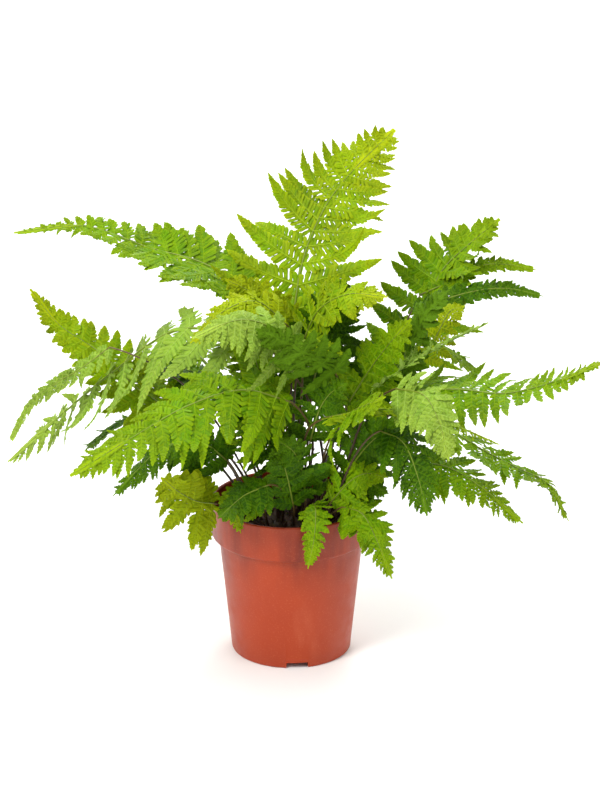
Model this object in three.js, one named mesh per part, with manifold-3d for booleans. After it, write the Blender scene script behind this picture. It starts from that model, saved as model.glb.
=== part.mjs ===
// A fern in its nursery pot: a tapered plastic pot with a deep rim band, the plug of potting
// soil that fills it, the rootstock at the soil's surface, and the fronds that rise from the
// rootstock. Each frond is two pieces: the stem (the bare stalk) and the leaf (the feathered
// blade with its midrib). Millimetres, +Z up, origin on the pot's axis at the level it stands on.

import * as THREE from "three";
import { mergeVertices } from "three/addons/utils/BufferGeometryUtils.js";
import Module from "manifold-3d";

const wasm = await Module();
wasm.setup();

// ---- Driving dimensions -------------------------------------------------------------------

const potHeight = 119;
const rimRadius = 60;
const bandHeight = 27.5;
const bandStep = 2.2;
const rimOverhang = 6;
const baseRadius = 45;
const wall = 1.4;
const rimLip = 2.2;
const bandTaper = 0.5;
const bandSlope = 0.6;
const floorLift = 6;
const floorThickness = 1.6;
const footWidth = 4;
const footRound = 1.2;
const notchWidth = 17;
const notchHeight = 5;
const notchTurn = 6;
const notches = 3;
const drainHole = 8;
const drainRing = 30;
const drainSides = 12;
const potSides = 48;

const soilBelowRim = 12;
const soilMound = 3;
const soilTopShare = 0.75;
const rootstockRadius = 44;
const rootstockHeight = 8;
const rootstockDepth = 9;
const rootstockSides = 24;

const frondReach = 220;
const frondRise = 265;
const stemDiameter = 2.6;
const leafThickness = 0.8;
const midribWidth = 5;
const stalkStart = 1;
const stalkSteps = 4;

// A blade's leaflets: the share of the full length that the first ones have, how far along the
// blade they reach it, how fast they shorten to the tip, and how far out the blade still runs
// between two leaflets.
const firstShare = 0.75;
const fullFrom = 0.12;
const shortening = 0.8;
const gapShare = 0.32;

// The sizes that the table of fronds is written for; the fronds follow the driving dimensions
// from them.
const tableReach = 220;
const tableRise = 265;
const tableRim = 60;
const tableRootstock = 44;

const clearance = 0.3;
const leafClearance = 0.5;

// ---- Solids -------------------------------------------------------------------------------

// A closed three.js geometry as a solid that can be joined and cut.
function solidOf(geometry) {
  const bare = new THREE.BufferGeometry();
  bare.setAttribute("position", geometry.getAttribute("position"));
  bare.setIndex(geometry.index);
  const merged = mergeVertices(bare, 1e-4);
  return new wasm.Manifold(
    new wasm.Mesh({
      numProp: 3,
      vertProperties: new Float32Array(merged.attributes.position.array),
      triVerts: new Uint32Array(merged.index.array),
    }),
  );
}

// A solid as a geometry again.
function geometryOf(solid) {
  const mesh = solid.getMesh();
  const points = new Float32Array(mesh.numVert * 3);
  for (let i = 0; i < mesh.numVert; i += 1) {
    const from = i * mesh.numProp;
    points.set(mesh.vertProperties.subarray(from, from + 3), i * 3);
  }
  const geometry = new THREE.BufferGeometry();
  geometry.setAttribute("position", new THREE.BufferAttribute(points, 3));
  geometry.setIndex(new THREE.BufferAttribute(new Uint32Array(mesh.triVerts), 1));
  geometry.computeVertexNormals();
  return geometry;
}

// A profile of [radius, height] points turned round the pot's axis.
function turned(profile, sides) {
  const points = profile.map(([r, z]) => new THREE.Vector2(r, z));
  const geometry = new THREE.LatheGeometry(points, sides);
  geometry.rotateX(Math.PI / 2);
  return solidOf(geometry);
}

// ---- Pot ----------------------------------------------------------------------------------

const bandFoot = potHeight - bandHeight;
const floorTop = floorLift + floorThickness;
const bodyTopRadius = rimRadius - rimOverhang;
const shoulderRadius = rimRadius - bandStep * bandSlope;
const soilLevel = potHeight - soilBelowRim;

// The outside of the pot from the foot to the rim, as [radius, height].
const outerWall = [
  [baseRadius - footWidth, 0],
  [baseRadius - footRound, 0],
  [baseRadius, footRound],
  [bodyTopRadius, bandFoot - bandStep],
  [shoulderRadius, bandFoot],
  [rimRadius - bandTaper, bandFoot + bandStep],
  [rimRadius, potHeight - rimLip],
  [rimRadius - bandTaper, potHeight],
];

// The inside from the floor to just under the lip, one wall's thickness in.
const innerWall = [
  [baseRadius - wall, floorTop],
  [bodyTopRadius - wall, bandFoot - bandStep + wall / 2],
  [shoulderRadius - wall, bandFoot + wall / 2],
  [rimRadius - bandTaper - wall, bandFoot + bandStep],
  [rimRadius - bandTaper - wall, potHeight - 2 * rimLip],
];

function makePot() {
  const lip = [
    [rimRadius - rimLip, potHeight],
    [rimRadius - rimLip, potHeight - rimLip],
  ];
  const floor = [
    [0, floorTop],
    [0, floorLift],
    [baseRadius - footWidth, floorLift],
  ];
  const profile = [...outerWall, ...lip, ...innerWall.toReversed(), ...floor, outerWall[0]];
  let pot = turned(profile, potSides);
  for (let i = 0; i < notches; i += 1) {
    const turn = ((notchTurn + (i * 360) / notches) * Math.PI) / 180;
    const notch = new THREE.BoxGeometry(notchWidth, 3 * footWidth, 2 * notchHeight);
    notch.translate(0, footWidth - baseRadius, 0);
    notch.rotateZ(turn);
    pot = pot.subtract(solidOf(notch));
    const radius = drainHole / 2;
    const hole = new THREE.CylinderGeometry(radius, radius, 3 * floorLift, drainSides);
    hole.rotateX(Math.PI / 2);
    hole.translate(0, -drainRing, floorLift);
    hole.rotateZ(turn);
    pot = pot.subtract(solidOf(hole));
  }
  return pot;
}

// ---- Rootstock and soil -------------------------------------------------------------------

const rootstockHalf = (rootstockHeight + rootstockDepth) / 2;
const rootstockMiddle = soilLevel + (rootstockHeight - rootstockDepth) / 2;

// A low rounded hump, grown by the given amount on every side.
function rootstockSolid(grown) {
  const geometry = new THREE.SphereGeometry(1, rootstockSides, rootstockSides / 2);
  geometry.rotateX(Math.PI / 2);
  const radius = rootstockRadius + grown;
  geometry.scale(radius, radius, rootstockHalf + grown);
  geometry.translate(0, 0, rootstockMiddle);
  return solidOf(geometry);
}

// Height of the rootstock's top over a point of its plan.
function rootstockTop(x, y) {
  const out = Math.hypot(x, y) / rootstockRadius;
  return rootstockMiddle + rootstockHalf * Math.sqrt(1 - out * out);
}

// The soil fills the pot to its level at the wall, and rises a little towards the middle.
function makeSoil() {
  const edge = soilLevel - soilMound;
  const side = innerWall.filter(([, z]) => z < edge).map(([r, z]) => [r - clearance, z]);
  side[0][1] += clearance;
  const edgeRadius = side[side.length - 1][0];
  const top = [
    [edgeRadius, edge],
    [edgeRadius * soilTopShare, soilLevel],
    [0, soilLevel],
  ];
  const profile = [[0, side[0][1]], ...side, ...top];
  return turned(profile, potSides).subtract(rootstockSolid(clearance));
}

// ---- Fronds -------------------------------------------------------------------------------

// foot is the stalk's plan position on the rootstock. stalk and blade are points that the
// frond passes through, [x, y, height above the soil]; the blade starts at its first point.
// face is the side that the blade's upper surface looks to, pinna the longest leaflet, pairs
// how many leaflets there are on a side, sweep their angle to the midrib and droop how far
// they hang. A frond that hangs over the rim follows the rim's radius instead of the reach.
const fronds = [
  {
    name: "top",
    foot: [6, 12],
    stalk: [[-3, 14, 85]],
    blade: [[0, 26, 130], [8, 46, 180], [24, 70, 215], [46, 90, 240], [76, 110, 265]],
    face: [-0.25, -0.9, 0.35],
    pinna: 66,
    pairs: 12,
    sweep: 62,
    droop: 0.12,
  },
  {
    name: "upper_left",
    foot: [-12, 14],
    stalk: [[-18, 30, 95]],
    blade: [[-32, 46, 162], [-68, 60, 178], [-106, 70, 186], [-156, 80, 200], [-206, 84, 194]],
    face: [0.1, -0.35, 0.95],
    pinna: 52,
    pairs: 12,
    sweep: 60,
    droop: 0.1,
  },
  {
    name: "left_lime",
    foot: [-24, 8],
    stalk: [[-48, 24, 38]],
    blade: [[-80, 40, 62], [-114, 54, 78], [-146, 64, 106], [-176, 74, 124], [-196, 80, 148]],
    face: [0.3, -0.8, 0.5],
    pinna: 34,
    pairs: 11,
    sweep: 58,
    droop: 0.05,
  },
  {
    name: "left_arching",
    foot: [28, 0],
    stalk: [[20, -10, 70], [2, -14, 114]],
    blade: [[-36, -10, 146], [-86, 10, 140], [-136, 34, 98], [-176, 60, 56], [-218, 80, 12]],
    face: [-0.2, -0.35, 0.9],
    pinna: 50,
    pairs: 13,
    sweep: 66,
    droop: 0.45,
  },
  {
    name: "left_low",
    foot: [6, -14],
    stalk: [[16, -30, 68]],
    blade: [[0, -50, 106], [-34, -64, 120], [-72, -80, 114], [-112, -98, 96], [-152, -110, 74]],
    face: [-0.1, -0.45, 0.9],
    pinna: 56,
    pairs: 12,
    sweep: 64,
    droop: 0.3,
  },
  {
    name: "left_shaded",
    foot: [-30, -4],
    stalk: [[-44, 8, 32]],
    blade: [[-60, 10, 46], [-80, 6, 54], [-98, 0, 50], [-114, -4, 36], [-130, -10, 20]],
    face: [-0.2, -0.3, 0.9],
    pinna: 26,
    pairs: 9,
    sweep: 60,
    droop: 0.3,
  },
  {
    name: "rim_left",
    foot: [-32, -16],
    overRim: true,
    stalk: [[-44, -26, 16]],
    blade: [[-56, -36, 22], [-68, -42, 26], [-80, -46, 34], [-92, -50, 46]],
    face: [-0.45, -0.75, 0.45],
    pinna: 30,
    pairs: 6,
    sweep: 72,
    droop: 0.35,
  },
  {
    name: "right_upper",
    foot: [26, 20],
    stalk: [[62, 40, 52]],
    blade: [[84, 60, 98], [104, 80, 142], [116, 90, 164], [136, 96, 182], [156, 100, 198]],
    face: [-0.2, -0.75, 0.65],
    pinna: 54,
    pairs: 10,
    sweep: 66,
    droop: 0.2,
  },
  {
    name: "right_turned",
    foot: [32, 8],
    stalk: [[54, 4, 68]],
    blade: [[80, -8, 118], [90, -14, 146], [100, -14, 164], [112, -12, 176]],
    face: [0.7, 0.5, -0.3],
    pinna: 26,
    pairs: 7,
    sweep: 60,
    droop: 0.1,
  },
  {
    name: "right_light",
    foot: [37, -2],
    stalk: [[46, -16, 72]],
    blade: [[62, -30, 110], [80, -40, 128], [106, -44, 146], [140, -50, 166]],
    face: [-0.3, 0.1, 0.95],
    pinna: 22,
    pairs: 10,
    sweep: 50,
    droop: 0.05,
  },
  {
    name: "right_long",
    foot: [38, -12],
    stalk: [[60, -18, 66]],
    blade: [[90, -26, 106], [122, -40, 112], [154, -54, 114], [188, -68, 128], [218, -80, 146]],
    face: [0, -0.2, 1],
    pinna: 38,
    pairs: 11,
    sweep: 64,
    droop: 0.35,
  },
  {
    name: "right_low",
    foot: [33, 16],
    stalk: [[80, 22, 50]],
    blade: [[112, 12, 66], [142, 2, 50], [166, -8, 40], [190, -18, 30], [204, -24, 6]],
    face: [0.2, -0.1, 0.9],
    pinna: 26,
    pairs: 10,
    sweep: 60,
    droop: 0.1,
  },
  {
    name: "right_hanging",
    foot: [30, -20],
    stalk: [[52, -48, 92]],
    blade: [[74, -84, 128], [92, -114, 134], [102, -134, 122], [108, -146, 100]],
    face: [0.1, -0.9, 0.4],
    pinna: 26,
    pairs: 8,
    sweep: 62,
    droop: 0.3,
  },
  {
    name: "right_drooping",
    foot: [30, -25],
    stalk: [[62, -34, 38]],
    blade: [[88, -46, 58], [112, -60, 60], [136, -74, 50], [164, -84, 28]],
    face: [0, -0.4, 0.9],
    pinna: 28,
    pairs: 9,
    sweep: 58,
    droop: 0.25,
  },
  {
    name: "right_front",
    foot: [26, -29],
    stalk: [[46, -56, 66]],
    blade: [[64, -72, 92], [80, -86, 88], [90, -96, 66], [96, -102, 42]],
    face: [0.1, -0.8, 0.6],
    pinna: 28,
    pairs: 8,
    sweep: 55,
    droop: 0.35,
  },
  {
    name: "front_middle",
    foot: [12, -34],
    overRim: true,
    stalk: [],
    blade: [[16, -46, 26], [18, -62, 28], [17, -72, 10], [13, -80, -8]],
    face: [0, -0.9, 0.45],
    pinna: 15,
    pairs: 7,
    sweep: 66,
    droop: 0.15,
  },
  {
    name: "front_right",
    foot: [19, -33],
    overRim: true,
    stalk: [],
    blade: [[38, -48, 24], [52, -62, 24], [62, -72, 8], [72, -80, -16]],
    face: [0.3, -0.85, 0.45],
    pinna: 24,
    pairs: 8,
    sweep: 66,
    droop: 0.15,
  },
  {
    name: "front_left",
    foot: [-24, -28],
    overRim: true,
    stalk: [],
    blade: [[-40, -40, 24], [-42, -52, 25], [-37, -62, 12]],
    face: [-0.2, -0.9, 0.45],
    pinna: 11,
    pairs: 5,
    sweep: 62,
    droop: 0.15,
  },
  {
    name: "centre_turned",
    foot: [22, -10],
    stalk: [[38, -28, 72]],
    blade: [[32, -50, 128], [14, -60, 144], [-6, -66, 158], [-22, -68, 166]],
    face: [-0.2, 0.85, 0.45],
    pinna: 32,
    pairs: 8,
    sweep: 64,
    droop: 0.1,
  },
  {
    name: "centre_bright",
    foot: [18, -23],
    stalk: [[24, -40, 60]],
    blade: [[32, -70, 92], [42, -90, 112], [52, -102, 122], [64, -110, 130]],
    face: [-0.2, -0.4, 0.9],
    pinna: 30,
    pairs: 7,
    sweep: 64,
    droop: 0.25,
  },
  {
    name: "centre_lime",
    foot: [9, -25],
    stalk: [[10, -44, 74]],
    blade: [[26, -66, 100], [62, -82, 112], [102, -94, 110], [146, -104, 94]],
    face: [0, 0.2, 1],
    pinna: 24,
    pairs: 10,
    sweep: 56,
    droop: 0.2,
  },
  {
    name: "front_shaded",
    foot: [-6, -30],
    stalk: [[-6, -44, 34]],
    blade: [[-16, -60, 46], [-34, -72, 42], [-50, -80, 30]],
    face: [-0.1, -0.6, 0.8],
    pinna: 22,
    pairs: 7,
    sweep: 60,
    droop: 0.3,
  },
  {
    name: "centre_yellow",
    foot: [-4, 3],
    stalk: [[0, 2, 84]],
    blade: [[-2, -10, 150], [-24, -20, 172], [-48, -30, 168], [-70, -36, 148]],
    face: [-0.3, -0.5, 0.85],
    pinna: 28,
    pairs: 9,
    sweep: 62,
    droop: 0.4,
  },
  {
    name: "back_left",
    foot: [-20, 24],
    stalk: [[-42, 48, 56]],
    blade: [[-60, 74, 88], [-80, 100, 98], [-100, 124, 90], [-118, 145, 66]],
    face: [-0.3, 0.2, 0.95],
    pinna: 46,
    pairs: 11,
    sweep: 64,
    droop: 0.25,
  },
  {
    name: "back_middle",
    foot: [3, 28],
    stalk: [[8, 54, 84]],
    blade: [[14, 80, 128], [20, 106, 140], [24, 130, 128], [26, 148, 104]],
    face: [0, 0.3, 0.95],
    pinna: 44,
    pairs: 10,
    sweep: 64,
    droop: 0.3,
  },
  {
    name: "back_right",
    foot: [16, 31],
    stalk: [[44, 62, 62]],
    blade: [[72, 90, 92], [98, 112, 98], [124, 130, 86], [146, 144, 62]],
    face: [0.3, 0.3, 0.9],
    pinna: 42,
    pairs: 10,
    sweep: 62,
    droop: 0.25,
  },
  {
    name: "back_low",
    foot: [-8, 35],
    stalk: [[-16, 62, 42]],
    blade: [[-26, 84, 60], [-36, 106, 58], [-42, 126, 42], [-46, 142, 18]],
    face: [-0.1, 0.4, 0.9],
    pinna: 34,
    pairs: 9,
    sweep: 62,
    droop: 0.3,
  },
  {
    name: "left_back",
    foot: [-33, 17],
    stalk: [[-66, 44, 36]],
    blade: [[-94, 68, 50], [-118, 88, 46], [-142, 106, 30], [-162, 120, 6]],
    face: [-0.3, 0.2, 0.9],
    pinna: 34,
    pairs: 10,
    sweep: 62,
    droop: 0.25,
  },
];

// A frond's points in the part's frame.
function placed(frond, point) {
  const plan = frond.overRim ? rimRadius / tableRim : frondReach / tableReach;
  const rise = frond.overRim ? 1 : frondRise / tableRise;
  return new THREE.Vector3(point[0] * plan, point[1] * plan, soilLevel + point[2] * rise);
}

function footOf(frond) {
  const spread = rootstockRadius / tableRootstock;
  const x = frond.foot[0] * spread;
  const y = frond.foot[1] * spread;
  return new THREE.Vector3(x, y, rootstockTop(x, y) - stalkStart);
}

function curveThrough(points) {
  return new THREE.CatmullRomCurve3(points, false, "catmullrom", 0.5);
}

// The bare stalk, from just over the rootstock to just short of the blade.
function makeStem(frond, grown) {
  const bladeStart = placed(frond, frond.blade[0]);
  const middle = frond.stalk.map((p) => placed(frond, p));
  const bladeNext = placed(frond, frond.blade[1]);
  const path = curveThrough([footOf(frond), ...middle, bladeStart, bladeNext]);
  const upTo = (middle.length + 1) / (middle.length + 2);
  const steps = stalkSteps * (middle.length + 1);
  const points = [];
  for (let i = 0; i <= steps; i += 1) {
    points.push(path.getPoint((upTo * i) / steps));
  }
  const last = points[steps];
  const before = points[steps - 1];
  const short = clearance + leafThickness + grown;
  last.add(before.clone().sub(last).setLength(short));
  const section = new THREE.Shape();
  const radius = stemDiameter / 2 + grown;
  section.moveTo(radius, 0);
  for (let i = 1; i < 6; i += 1) {
    const turn = (i * Math.PI) / 3;
    section.lineTo(radius * Math.cos(turn), radius * Math.sin(turn));
  }
  section.closePath();
  const extrudePath = curveThrough(points);
  return solidOf(new THREE.ExtrudeGeometry(section, { steps, extrudePath, curveSegments: 1 }));
}

// How long the leaflets are along the blade, as a share of the longest.
function leafletShare(u) {
  const opening = firstShare + (1 - firstShare) * Math.min(1, u / fullFrom);
  return opening * Math.pow(1 - u, shortening);
}

// The blade: a thin curved plate whose outline runs out to each leaflet's tip and back in.
function makeLeaf(frond, grown) {
  const path = curveThrough(frond.blade.map((p) => placed(frond, p)));
  const face = new THREE.Vector3(...frond.face).normalize();
  const sweep = (frond.sweep * Math.PI) / 180;
  const rows = 2 * frond.pairs + 1;
  const half = leafThickness / 2 + grown;
  const upper = [];
  const lower = [];
  for (let i = 0; i <= rows; i += 1) {
    const u = i / rows;
    const middle = path.getPoint(u);
    const along = path.getTangent(u);
    const up = face.clone().addScaledVector(along, -face.dot(along)).normalize();
    const side = new THREE.Vector3().crossVectors(along, up);
    const isTip = i % 2 === 1;
    const share = leafletShare(u) * (isTip ? 1 : gapShare);
    const out = Math.max(midribWidth / 2, frond.pinna * share) + grown;
    for (const hand of [-1, 0, 1]) {
      const point = middle.clone();
      if (hand !== 0) {
        point.addScaledVector(side, hand * out * Math.sin(sweep));
        point.addScaledVector(along, out * Math.cos(sweep));
        point.z -= frond.droop * out;
      }
      upper.push(point.clone().addScaledVector(up, half));
      lower.push(point.clone().addScaledVector(up, -half));
    }
  }
  const points = [...upper, ...lower];
  const under = upper.length;
  const faces = [];
  const quad = (a, b, c, d) => faces.push(a, b, c, a, c, d);
  for (let i = 0; i < rows; i += 1) {
    const near = 3 * i;
    const next = near + 3;
    quad(near + 1, next + 1, next, near);
    quad(near + 1, near + 2, next + 2, next + 1);
    quad(under + near + 1, under + near, under + next, under + next + 1);
    quad(under + near + 1, under + next + 1, under + next + 2, under + near + 2);
    quad(near, next, under + next, under + near);
    quad(near + 2, under + near + 2, under + next + 2, next + 2);
  }
  for (const column of [0, 1]) {
    const first = column;
    const last = 3 * rows + column;
    quad(first, under + first, under + first + 1, first + 1);
    quad(last, last + 1, under + last + 1, under + last);
  }
  const geometry = new THREE.BufferGeometry();
  const places = points.flatMap((p) => p.toArray());
  geometry.setAttribute("position", new THREE.Float32BufferAttribute(places, 3));
  geometry.setIndex(faces);
  return solidOf(geometry);
}

// The largest body that is left of a leaf once its neighbours' room is cut away.
function largestBody(solid) {
  const bodies = solid.decompose();
  return bodies.reduce((best, body) => (body.volume() > best.volume() ? body : best));
}

// ---- The scene graph ----------------------------------------------------------------------

const plastic = new THREE.MeshStandardMaterial({ color: 0xb0482a, roughness: 0.42, metalness: 0 });
const soil = new THREE.MeshStandardMaterial({ color: 0x2a1c14, roughness: 0.95, metalness: 0 });
const scaly = new THREE.MeshStandardMaterial({ color: 0x3a2415, roughness: 0.9, metalness: 0 });
const stalk = new THREE.MeshStandardMaterial({ color: 0x4a3018, roughness: 0.6, metalness: 0 });
const green = new THREE.MeshStandardMaterial({ color: 0x6aa12c, roughness: 0.5, metalness: 0 });

const plant = new THREE.Group();

function addNode(name, solid, material) {
  const mesh = new THREE.Mesh(geometryOf(solid), material.clone());
  mesh.name = name;
  plant.add(mesh);
}

const pot = makePot();
const soilPlug = makeSoil();
addNode("pot", pot, plastic);
addNode("potting_soil", soilPlug, soil);
addNode("rootstock", rootstockSolid(0), scaly);

const rootstockRoom = rootstockSolid(clearance);
const stems = fronds.map((frond) => makeStem(frond, 0).subtract(rootstockRoom));
const stemRooms = fronds.map((frond) => makeStem(frond, clearance));
const leafRooms = [];
fronds.forEach((frond, i) => {
  let leaf = makeLeaf(frond, 0);
  for (const room of [...stemRooms, ...leafRooms, rootstockRoom]) {
    leaf = leaf.subtract(room);
  }
  addNode(`${frond.name}_stem`, stems[i], stalk);
  addNode(`${frond.name}_leaf`, largestBody(leaf), green);
  leafRooms.push(makeLeaf(frond, leafClearance));
});

export default plant;
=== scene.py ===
# A fern in its plastic nursery pot, standing on a pale floor. Metres, +Z up, the pot's axis
# on Z and its foot at Z 0. The sections follow the order in which the plant is put together.

import math

import bmesh
import bpy
import numpy as np
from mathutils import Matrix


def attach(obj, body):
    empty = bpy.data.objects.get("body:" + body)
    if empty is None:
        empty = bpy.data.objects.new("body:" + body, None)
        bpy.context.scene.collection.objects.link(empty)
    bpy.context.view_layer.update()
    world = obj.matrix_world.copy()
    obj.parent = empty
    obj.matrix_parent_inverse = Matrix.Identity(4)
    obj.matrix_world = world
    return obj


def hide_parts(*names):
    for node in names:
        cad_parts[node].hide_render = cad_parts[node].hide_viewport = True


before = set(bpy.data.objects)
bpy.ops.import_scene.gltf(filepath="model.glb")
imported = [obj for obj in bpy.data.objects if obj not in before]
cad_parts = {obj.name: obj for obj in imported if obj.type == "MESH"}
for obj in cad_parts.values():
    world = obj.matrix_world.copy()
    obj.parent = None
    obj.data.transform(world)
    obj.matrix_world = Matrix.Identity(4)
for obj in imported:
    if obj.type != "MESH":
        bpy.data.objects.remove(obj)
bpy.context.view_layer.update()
scene = bpy.context.scene

# ---- The room: floor, light and camera -----------------------------------------------------
# A plain pale floor that runs well past the plant, four soft lamps over it, one more that lights
# the floor behind it, and an even white surround. The camera stands two metres off and looks
# down at the plant by about 20 degrees.

scene.view_settings.view_transform = "Standard"
scene.view_settings.look = "None"

surround = bpy.data.worlds.new("surround")
surround.use_nodes = True
surround.node_tree.nodes["Background"].inputs["Color"].default_value = (1.0, 1.0, 1.0, 1)
surround.node_tree.nodes["Background"].inputs["Strength"].default_value = 0.55
scene.world = surround


def soft_lamp(name, place, aim, size, watts, tint):
    lamp = bpy.data.objects.new(name, bpy.data.lights.new(name, "AREA"))
    lamp.data.shape = "SQUARE"
    lamp.data.size = size
    lamp.data.energy = watts
    lamp.data.color = tint
    lamp.location = place
    away = np.array(place) - np.array(aim)
    flat = math.hypot(away[0], away[1])
    lamp.rotation_euler = (math.atan2(flat, away[2]), 0, math.atan2(away[0], -away[1]))
    scene.collection.objects.link(lamp)


soft_lamp("key_lamp", (-1.2, -1.4, 2.0), (0, 0, 0.2), 0.8, 50, (1.0, 0.985, 0.96))
soft_lamp("fill_lamp", (1.7, -1.0, 1.0), (0, 0, 0.2), 1.2, 9, (0.98, 0.99, 1.0))
soft_lamp("back_lamp", (0.5, 1.6, 1.7), (0, 0, 0.25), 1.2, 20, (1.0, 1.0, 0.98))
soft_lamp("top_lamp", (0.0, 0.1, 2.3), (0, 0, 0.2), 1.5, 20, (1.0, 1.0, 1.0))
soft_lamp("far_lamp", (0.0, 3.4, 2.6), (0, 3.2, 0), 3.0, 90, (1.0, 1.0, 1.0))

camera = bpy.data.objects.new("camera", bpy.data.cameras.new("camera"))
camera.location = (0.0067, -1.8845, 0.8666)
camera.rotation_euler = (math.radians(70.43), 0, 0)
camera.data.sensor_width = 36
camera.data.lens = 122.07
scene.collection.objects.link(camera)
scene.camera = camera


def mesh_of(name, points, faces):
    mesh = bpy.data.meshes.new(name)
    mesh.from_pydata(points, [], faces)
    return mesh


far = 40.0
floor_corners = [(-far, -far, 0), (far, -far, 0), (far, far, 0), (-far, far, 0)]
floor_mesh = mesh_of("floor", floor_corners, [(0, 1, 2, 3)])
floor = bpy.data.objects.new("floor", floor_mesh)
scene.collection.objects.link(floor)
pale = bpy.data.materials.new("pale_floor")
pale.use_nodes = True
pale.node_tree.nodes["Principled BSDF"].inputs["Base Color"].default_value = (0.93, 0.93, 0.93, 1)
pale.node_tree.nodes["Principled BSDF"].inputs["Roughness"].default_value = 0.8
floor_mesh.materials.append(pale)

# ---- Pot -----------------------------------------------------------------------------------
# A tapered nursery pot, injection moulded in terracotta-coloured polypropylene about 1.4 mm
# thick. A deep band stands out round the rim, three low notches let water out under the foot,
# and three holes drain the raised floor.

pot_sides = 160
notch_turns = (6, 126, 246)
notch_foot = 0.0085
notch_crown = 0.0079
notch_height = 0.0046
drain_ring = 0.030
drain_radius = 0.004
drain_sides = 20


class Shader:
    """A material's nodes, made one at a time and joined by name."""

    def __init__(self, name):
        self.material = bpy.data.materials.new(name)
        self.material.use_nodes = True
        self.tree = self.material.node_tree
        self.surface = self.tree.nodes["Principled BSDF"]
        self.output = self.tree.nodes["Material Output"]

    def node(self, kind, **settings):
        made = self.tree.nodes.new("ShaderNode" + kind)
        for key, value in settings.items():
            if key in made.inputs.keys():
                self.feed(made.inputs[key], value)
            else:
                setattr(made, key, value)
        return made

    def feed(self, socket, value):
        if isinstance(value, bpy.types.NodeSocket):
            self.tree.links.new(value, socket)
        else:
            socket.default_value = value

    def paint(self, tone, rough):
        self.feed(self.surface.inputs["Base Color"], tone)
        self.feed(self.surface.inputs["Roughness"], rough)

    def math(self, operation, first, second=0.0):
        made = self.tree.nodes.new("ShaderNodeMath")
        made.operation = operation
        self.feed(made.inputs[0], first)
        self.feed(made.inputs[1], second)
        return made.outputs[0]

    def times(self, first, second):
        return self.math("MULTIPLY", first, second)

    def plus(self, first, second):
        return self.math("ADD", first, second)

    def spread(self, value, low, high, to_low=0.0, to_high=1.0):
        """The value's run from low to high, stretched over a new range and held at its ends."""
        made = self.tree.nodes.new("ShaderNodeMapRange")
        for socket, given in zip(made.inputs, (value, low, high, to_low, to_high)):
            self.feed(socket, given)
        return made.outputs[0]

    def blend(self, share, first, second):
        made = self.tree.nodes.new("ShaderNodeMix")
        made.data_type = "RGBA"
        self.feed(made.inputs[0], share)
        self.feed(made.inputs[6], first)
        self.feed(made.inputs[7], second)
        return made.outputs[2]

    def noise(self, scale, detail=3.0, place=None, stretch=None):
        made = self.node("TexNoise", Scale=scale, Detail=detail)
        if place is None:
            place = self.node("TexCoord").outputs["Object"]
        if stretch is not None:
            place = self.node("Mapping", Vector=place, Scale=stretch).outputs["Vector"]
        self.feed(made.inputs["Vector"], place)
        return made.outputs["Fac"]

    def bump(self, height, strength, distance):
        made = self.node("Bump", Height=height, Strength=strength, Distance=distance)
        self.feed(self.surface.inputs["Normal"], made.outputs["Normal"])


def colour(red, green, blue):
    """A colour named by its screen values from 0 to 255."""
    line = [(c / 255) / 12.92 if c <= 10 else ((c / 255 + 0.055) / 1.055) ** 2.4 for c in (red, green, blue)]
    return (*line, 1)


def piece_of(name, mesh, material, nodes):
    made = bpy.data.objects.new(name, mesh)
    scene.collection.objects.link(made)
    mesh.materials.append(material)
    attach(made, "root")
    if nodes:
        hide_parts(*nodes)
    return made


def circle(radius, sides, height):
    turns = [2 * math.pi * k / sides for k in range(sides)]
    return [(radius * math.cos(a), radius * math.sin(a), height) for a in turns]


def ring_faces(rings, sides, closed=False):
    """Faces between each ring of points and the next, and from the last to the first if closed."""
    faces = []
    for i in range(rings if closed else rings - 1):
        a, b = i * sides, (i + 1) % rings * sides
        for k in range(sides):
            m = (k + 1) % sides
            faces.append((a + k, a + m, b + m, b + k))
    return faces


def lathe(name, profile, sides):
    """A closed profile of (radius, height) turned round the Z axis."""
    points = [point for radius, height in profile for point in circle(radius, sides, height)]
    return mesh_of(name, points, ring_faces(len(profile), sides, closed=True))


def arc(middle, radius, start, end, steps):
    turns = np.radians(np.linspace(start, end, steps))
    return [(middle[0] + radius * math.cos(a), middle[1] + radius * math.sin(a)) for a in turns]


outside = [
    (0.0410, 0.0),
    (0.0438, 0.0),
    (0.0446, 0.0004),
    (0.0450, 0.0012),
    (0.0475, 0.0265),
    (0.0507, 0.0575),
    (0.0533, 0.0825),
    (0.0539, 0.0890),
    (0.0543, 0.0900),
    (0.0551, 0.0906),
    (0.0568, 0.0910),
    (0.0582, 0.0914),
    (0.0590, 0.0921),
    (0.0594, 0.0934),
    (0.0597, 0.1060),
]
inside = [
    (0.0578, 0.1160),
    (0.0583, 0.1110),
    (0.0582, 0.0958),
    (0.0574, 0.0935),
    (0.0552, 0.0922),
    (0.0534, 0.0914),
    (0.0527, 0.0900),
    (0.0520, 0.0820),
    (0.0436, 0.0076),
    (0.0005, 0.0076),
    (0.0005, 0.0060),
    (0.0410, 0.0060),
]
rim_roll = arc((0.0587, 0.1178), 0.0012, -10, 190, 9)
pot_profile = outside + rim_roll + inside
pot_mesh = lathe("pot_blank", pot_profile, pot_sides)


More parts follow.
